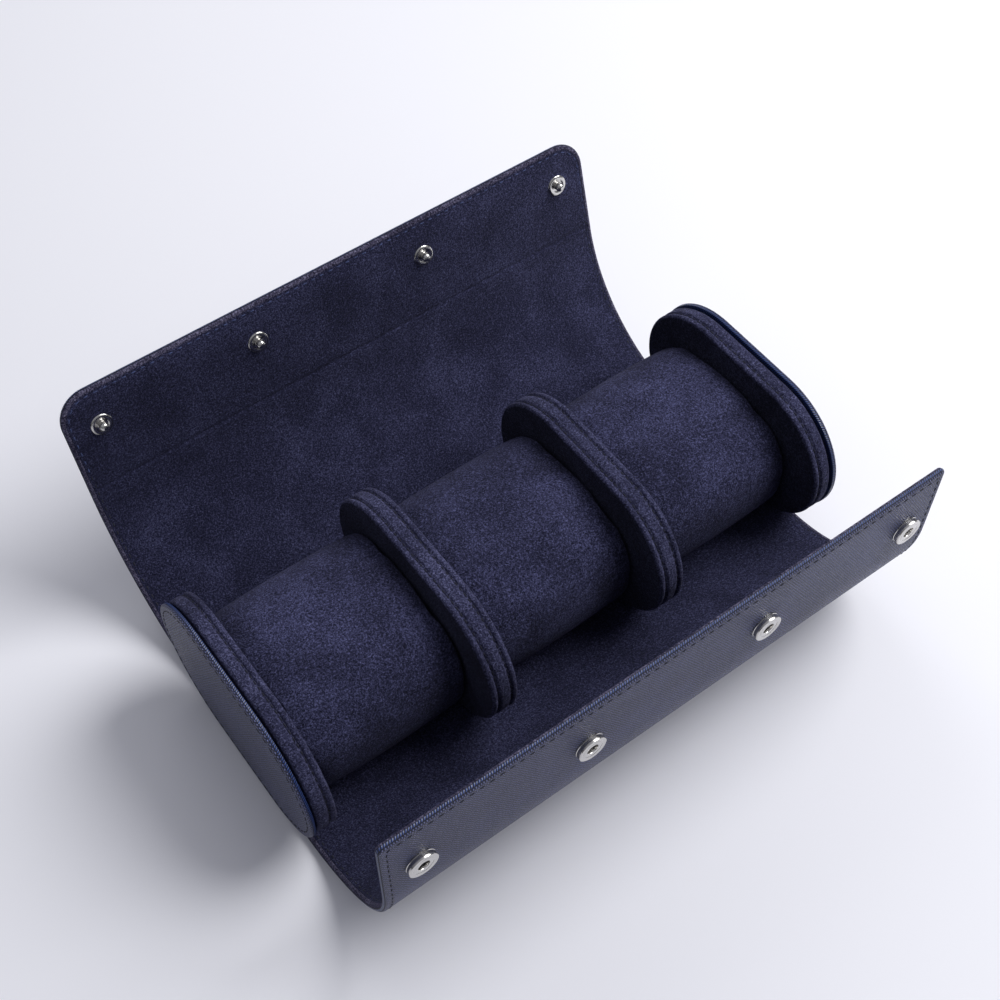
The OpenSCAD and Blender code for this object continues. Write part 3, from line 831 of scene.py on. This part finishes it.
def rim_profile(x0, x1, both):
    """(inset, x, kind): piping, groove and band, then their mirror image or, at a cap, a round."""
    def piping(x, way):
        part = [(BAND_T + 0.3 * MM, x, 0)]
        for i in range(9):
            a = math.radians(180 - 22.5 * i)
            part.append((PIPING_R * (1 - math.sin(a)), x + way * PIPING_R * (1 + math.cos(a)), 0))
        end = x + way * 2 * PIPING_R
        part[-1] = (GROOVE_D + 0.1 * MM, end, 0)
        part.append((GROOVE_D + 0.1 * MM, end + way * 0.6 * GROOVE_W, 0))
        part.append((0.22 * MM, end + way * GROOVE_W, 0))
        part.append((0.04 * MM, end + way * (GROOVE_W + 0.3 * MM), 0))
        return part

    profile = piping(x0, 1)
    profile.append((0, x0 + 2 * PIPING_R + GROOVE_W + 0.8 * MM, 0))
    if both:
        return profile + [(0, x1 - 2 * PIPING_R - GROOVE_W - 0.8 * MM, 0)] + piping(x1, -1)[::-1]
    return profile + [(0, x1 - 1.1 * MM, 0), (0.12 * MM, x1 - 0.7 * MM, 0),
                      (0.4 * MM, x1 - 0.3 * MM, 0), (0.85 * MM, x1, 0), (BAND_T + 0.6 * MM, x1, 0)]


def panel_rim(name, side, node, both):
    """One panel's suede rim, with a row of stitches down in each groove."""
    low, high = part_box(node)
    x0, x1 = sorted((abs(low.x), abs(high.x)))
    rim = stadium_sweep(name, PANEL_R, rim_profile(x0, x1, both), [PANEL_SUEDE], False, side, 60)
    grooves = [x0 + 2 * PIPING_R + 0.3 * GROOVE_W]
    if both:
        grooves.append(x1 - 2 * PIPING_R - 0.3 * GROOVE_W)
    for x in grooves:
        stadium_stitches(rim, PANEL_R - GROOVE_D, side * x, None, RIM_PITCH, RIM_THREAD_T,
                         NAVY_THREAD)
    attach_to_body(rim, "base")
    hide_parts(node)


for side, hand in ((-1, "left"), (1, "right")):
    panel_rim(f"{hand}_end_rim", side, f"{hand}_end_band", False)
    panel_rim(f"{hand}_divider_rim", side, f"{hand}_divider_band", True)


# ---- Watch cushions
# Foam in a sewn sleeve of the same microsuede. Each stands between two panels, crowned in the
# middle and flattened where it lies on the floor. The sleeve is inflated as cloth.
CUSHION_LOW, CUSHION_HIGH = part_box("middle_cushion_sleeve")
CUSHION_HALF_L = CUSHION_HIGH.x
CUSHION_HALF_W = (CUSHION_HIGH.y - CUSHION_LOW.y) / 2
CUSHION_Y = (CUSHION_HIGH.y + CUSHION_LOW.y) / 2
CUSHION_Z = (CUSHION_HIGH.z + CUSHION_LOW.z) / 2
CUSHION_HALF_H = (CUSHION_HIGH.z - CUSHION_LOW.z) / 2
CUSHION_INSET = 0.7 * MM
VOXEL = 2.0 * MM
SECTION_POWER = 0.78
END_POWER = 30
CROWN = 0.03
SWAY = 0.05 * MM
SWAY_WAVES = 160  # radians a metre: the slow waves are 40 mm long or more
FILL_LIMIT = 1.6 * MM


def cushion_start(name):
    """The sleeve before it fills out: the crowned form, drawn in by a constant inset."""
    rings, around = 36, 72
    points, faces = [], []
    for k in range(1, rings):
        t = math.sin(math.pi * (k / rings - 0.5))
        share = (1 - CROWN * t * t) * (1 - abs(t) ** END_POWER) ** (1 / END_POWER)
        for i in range(around):
            a = 2 * math.pi * i / around
            c, s = math.cos(a), math.sin(a)
            y = math.copysign(abs(c) ** SECTION_POWER, c) * (CUSHION_HALF_W - CUSHION_INSET) * share
            z = math.copysign(abs(s) ** SECTION_POWER, s) * (CUSHION_HALF_H - CUSHION_INSET) * share
            points.append((t * (CUSHION_HALF_L - CUSHION_INSET), y, z))
    for k in range(rings - 2):
        for i in range(around):
            j = (i + 1) % around
            faces.append((k * around + i, k * around + j, (k + 1) * around + j, (k + 1) * around + i))
    faces.append(list(range(around)))
    faces.append([(rings - 2) * around + i for i in reversed(range(around))])
    mesh = bpy.data.meshes.new(name)
    mesh.from_pydata(points, [], faces)
    piece = bpy.data.objects.new(name, mesh)
    SCENE.collection.objects.link(piece)
    remesh = piece.modifiers.new("even_mesh", "REMESH")
    remesh.mode = "VOXEL"
    remesh.voxel_size = VOXEL
    piece = bpy.data.objects.new(name, evaluated_mesh(piece))
    SCENE.collection.objects.link(piece)
    return piece


def filled_out(piece, seed):
    """Inflates the sleeve as cloth with a little spare fabric, and keeps each point near its start."""
    start = np.array([v.co for v in piece.data.vertices])
    rng = np.random.default_rng(seed)
    waves = rng.uniform(-1, 1, (5, 3)) * SWAY_WAVES
    phases = rng.uniform(0, 2 * math.pi, 5)
    sway = sum(np.sin(start @ w + p) for w, p in zip(waves, phases))
    radial = start * [0.1, 1, 1]
    radial /= np.linalg.norm(radial, axis=1)[:, None] + 1e-9
    start = start + radial * sway[:, None] * SWAY
    piece.data.vertices.foreach_set("co", start.ravel())
    cloth = piece.modifiers.new("sleeve", "CLOTH")
    cloth.settings.quality = 6
    cloth.settings.mass = 0.2
    cloth.settings.tension_stiffness = 12
    cloth.settings.compression_stiffness = 12
    cloth.settings.bending_stiffness = 0.4
    cloth.settings.use_pressure = True
    cloth.settings.uniform_pressure_force = 4
    cloth.settings.shrink_min = -0.03
    cloth.settings.effector_weights.gravity = 0
    cloth.point_cache.frame_start = 1
    cloth.point_cache.frame_end = 20
    for number in range(1, 21):
        SCENE.frame_set(number)
    graph = bpy.context.evaluated_depsgraph_get()
    moved = np.array([v.co for v in piece.evaluated_get(graph).data.vertices])
    piece.modifiers.clear()
    SCENE.frame_set(1)
    step = moved - start
    normals = np.array([v.normal for v in piece.data.vertices])
    inward = np.minimum((step * normals).sum(axis=1), 0)[:, None]
    step -= normals * inward
    reach = np.linalg.norm(step, axis=1)[:, None] + 1e-9
    settled = start + step * np.minimum(1, FILL_LIMIT / reach)
    piece.data.vertices.foreach_set("co", settled.ravel())
    finer = piece.modifiers.new("finer", "SUBSURF")
    finer.levels = 1
    finer.render_levels = 1
    name = piece.name
    mesh = evaluated_mesh(piece)
    co = np.array([v.co for v in mesh.vertices])
    co[:, 0] = np.clip(co[:, 0], -CUSHION_HALF_L, CUSHION_HALF_L)
    co[:, 2] = np.clip(co[:, 2], -CUSHION_HALF_H, CUSHION_HALF_H)
    mesh.vertices.foreach_set("co", co.ravel())
    mesh.shade_smooth()
    piece = bpy.data.objects.new(name, mesh)
    SCENE.collection.objects.link(piece)
    return piece


SLOT_X = sum(corner.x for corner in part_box("right_cushion_sleeve")) / 2
CUSHION_SUEDE = suede("cushion_microsuede", "#131422", "#2b2c45", "#5a5c84", "Object", 0.9)
for hand, x, seed in (("left", -SLOT_X, 3), ("middle", 0, 5), ("right", SLOT_X, 8)):
    cushion = filled_out(cushion_start(f"{hand}_cushion"), seed)
    cushion.data.transform(Matrix.Translation((x, CUSHION_Y, CUSHION_Z)))
    cushion.data.materials.clear()
    cushion.data.materials.append(CUSHION_SUEDE)
    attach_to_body(cushion, f"{hand}_cushion")
    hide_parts(f"{hand}_cushion_sleeve")


# ---- Snaps
# Brass press studs, four sockets in the front wall and four studs in the flap, each riveted to
# the board behind. The socket is a flat disc with a rounded rim, a fine groove round its bore and
# a spring inside, painted dark as the shade in the bore. The stud is a low flange with a ball on a
# short neck.
SOCKET_INSET = 21 * MM
STUD_INSET = 14 * MM
SNAP_X = (32.3 * MM, 88.7 * MM)


# Bright nickel plating with fine wear marks.
def polished_nickel():
    material, tree, shader = principled("polished_nickel")
    place = add(tree, "ShaderNodeTexCoord").outputs["Object"]
    marks = add(tree, "ShaderNodeTexNoise", {"Vector": place, "Scale": 900, "Detail": 3})
    rough = add(tree, "ShaderNodeMapRange", {"Value": marks.outputs[0], "To Min": 0.12, "To Max": 0.3})
    tree.links.new(rough.outputs[0], shader.inputs["Roughness"])
    shader.inputs["Base Color"].default_value = linear("#c9c7c4")
    shader.inputs["Metallic"].default_value = 1.0
    return material


# The inside of a socket: the spring and its cage, unpolished, their colour painted near black as the
# shade down in the bore.
def spring_in_painted_shade():
    material, tree, shader = principled("tarnished_spring")
    place = add(tree, "ShaderNodeTexCoord").outputs["Object"]
    marks = add(tree, "ShaderNodeTexNoise", {"Vector": place, "Scale": 1400, "Detail": 2})
    # Near black with lighter flecks: painted shade in the bore, the flecks painted glints off the
    # spring wire.
    ramp = add(tree, "ShaderNodeValToRGB", {0: marks.outputs[0]})
    ramp.color_ramp.elements[0].position = 0.5
    ramp.color_ramp.elements[0].color = linear("#0b0b0e")
    ramp.color_ramp.elements[1].position = 0.68
    ramp.color_ramp.elements[1].color = linear("#3c3c40")
    tree.links.new(ramp.outputs[0], shader.inputs["Base Color"])
    shader.inputs["Metallic"].default_value = 1.0
    shader.inputs["Roughness"].default_value = 0.4
    return material


NICKEL = polished_nickel()
SPRING_PAINTED_SHADE = spring_in_painted_shade()

# Profiles of the turned parts: (radius, height) in millimetres.
SPRING_PROFILE = [
    (0, 0.4), (1.0, 0.42), (1.1, 0.75), (1.3, 0.8), (1.84, 0.9), (1.84, 0.35), (0, 0.35),
]
SOCKET_PROFILE = [
    (0, 0.35), (1.7, 0.35), (1.85, 0.5), (1.85, 1.75), (1.92, 1.95), (2.1, 2.06), (2.5, 2.1),
    (3.0, 2.08), (3.12, 2.0), (3.35, 2.0), (3.5, 2.12), (4.0, 2.2), (4.5, 2.18), (4.7, 2.05),
    (4.79, 1.8), (4.8, 1.3), (4.6, 1.15), (4.58, 0.5), (4.72, 0.35), (4.7, 0), (0, 0),
]
STUD_PROFILE = [
    (0, 3.02), (0.35, 3.04), (0.75, 2.92), (1.1, 2.65), (1.4, 2.25), (1.55, 1.8), (1.5, 1.4),
    (1.28, 1.05), (1.25, 0.7), (1.4, 0.32), (2.0, 0.3), (2.3, 0.46), (2.9, 0.5), (3.3, 0.44),
    (3.58, 0.26), (3.7, 0.08), (3.7, 0), (0, 0),
]


def turned(name, profile, count=48):
    """A turned part on the Z axis, with its ends closed at the axis."""
    points, faces, rings = [], [], []
    for r, z in profile:
        if r == 0:
            rings.append([len(points)] * count)
            points.append((0, 0, z * MM))
        else:
            rings.append(list(range(len(points), len(points) + count)))
            for i in range(count):
                a = 2 * math.pi * i / count
                points.append((r * MM * math.cos(a), r * MM * math.sin(a), z * MM))
    for low, high in zip(rings, rings[1:]):
        for i in range(count):
            j = (i + 1) % count
            faces.append(list(dict.fromkeys((low[i], low[j], high[j], high[i]))))
    uvs = [[(0, 0)] * len(face) for face in faces]
    return make_mesh(name, points, faces, uvs, [0] * len(faces), [], 35)


# A row of snaps: one turned part set on each place, its axis along the wall's face direction.
def snap_tree():
    tree = bpy.data.node_groups.new("snap_row", "GeometryNodeTree")
    for name, kind, way in (("Places", "NodeSocketGeometry", "INPUT"),
                            ("Snap", "NodeSocketObject", "INPUT"),
                            ("Material", "NodeSocketMaterial", "INPUT"),
                            ("Snaps", "NodeSocketGeometry", "OUTPUT")):
        tree.interface.new_socket(name, in_out=way, socket_type=kind)
    given = add(tree, "NodeGroupInput")
    snap = add(tree, "GeometryNodeObjectInfo", {"Object": given.outputs["Snap"]})
    up = add(tree, "GeometryNodeInputNamedAttribute", {"Name": "up"}, data_type="FLOAT_VECTOR")
    raised = add(tree, "FunctionNodeAlignRotationToVector", {"Vector": up.outputs["Attribute"]},
                 axis="Z")
    row = add(tree, "GeometryNodeInstanceOnPoints",
              {"Points": given.outputs["Places"], "Instance": snap.outputs["Geometry"],
               "Rotation": raised.outputs[0]})
    real = add(tree, "GeometryNodeRealizeInstances", {"Geometry": row.outputs[0]})
    plated = add(tree, "GeometryNodeSetMaterial",
                 {"Geometry": real.outputs[0], "Material": given.outputs["Material"]})
    add(tree, "NodeGroupOutput", {"Snaps": plated.outputs[0]})
    return tree


SNAP_TREE = snap_tree()


def snap_meshes(name, profile, material, wall, inset, face):
    """Four copies of a turned part, set along a wall and facing out of it."""
    part = turned(f"{name}_pattern", profile)
    s = wall["length"] - inset
    places = bpy.data.meshes.new(name)
    places.from_pydata([wall_point(wall, x, s, face * HALF_T)
                        for x in (-SNAP_X[1], -SNAP_X[0], SNAP_X[0], SNAP_X[1])], [], [])
    up = [face * c for c in wall_up(wall, s)]
    mesh = laid_out(name, places, [up] * 4, SNAP_TREE, {"Snap": part, "Material": material})
    bpy.data.objects.remove(part)
    return mesh


sockets = bpy.data.objects.new("nickel_sockets", snap_meshes(
    "nickel_sockets", SOCKET_PROFILE, NICKEL, FRONT, SOCKET_INSET, -1))
join_mesh(sockets, snap_meshes("socket_springs", SPRING_PROFILE, SPRING_PAINTED_SHADE, FRONT, SOCKET_INSET, -1),
          SPRING_PAINTED_SHADE)
studs = bpy.data.objects.new("nickel_studs", snap_meshes(
    "nickel_studs", STUD_PROFILE, NICKEL, BACK, STUD_INSET, 1))
for row, node, body in ((sockets, "snap_sockets", "front_edge"), (studs, "snap_studs", "flap")):
    SCENE.collection.objects.link(row)
    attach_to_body(row, body)
    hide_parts(node)


# ---- Inner pieces and panel faces
# Grey board slats and plates, foam cores and rivets lie inside and show only when the case is
# taken apart. The suede faces of the panels are the CAD sheets themselves.
# The panel faces and end cores take a darker copy of the rim microsuede: painted shade for faces that
# turn away from the light.
PAINTED_SHADE_SUEDE = suede("divider_face_microsuede", "#10111b", "#222336", "#4a4c68", "Object", 0.8)


# Grey board: pressed waste paper, matt, with fibres of mixed shades.
def grey_board():
    material, tree, shader = principled("grey_board")
    place = add(tree, "ShaderNodeTexCoord").outputs["Object"]
    fibres = add(tree, "ShaderNodeTexNoise", {"Vector": place, "Scale": 1800, "Detail": 4})
    ramp = add(tree, "ShaderNodeValToRGB", {0: fibres.outputs[0]})
    ramp.color_ramp.elements[0].color = linear("#6f6a5f")
    ramp.color_ramp.elements[1].color = linear("#a39d8f")
    tree.links.new(ramp.outputs[0], shader.inputs["Base Color"])
    shader.inputs["Roughness"].default_value = 0.9
    return material


# Open-cell foam: cream, fully matt, with cells under a millimetre.
def open_foam():
    material, tree, shader = principled("open_cell_foam")
    place = add(tree, "ShaderNodeTexCoord").outputs["Object"]
    cells = add(tree, "ShaderNodeTexVoronoi", {"Vector": place, "Scale": 1500})
    ramp = add(tree, "ShaderNodeValToRGB", {0: cells.outputs["Distance"]})
    ramp.color_ramp.elements[0].color = linear("#a8a296")
    ramp.color_ramp.elements[1].color = linear("#dcd6c8")
    tree.links.new(ramp.outputs[0], shader.inputs["Base Color"])
    shader.inputs["Roughness"].default_value = 1.0
    return material


INNER = {
    "board": grey_board(), "foam": open_foam(), "nickel": NICKEL, "suede_dark": PAINTED_SHADE_SUEDE,
    "left_end_core": PAINTED_SHADE_SUEDE, "right_end_core": PAINTED_SHADE_SUEDE,
}
SLOT_OF = {part["node"]: part["material_slot"] for part in frame["record"]["subparts"]}
for node, thing in frame["nodes"].items():
    material = INNER.get(node, INNER.get(SLOT_OF[node]))
    if material:
        thing.data.materials.clear()
        thing.data.materials.append(material)
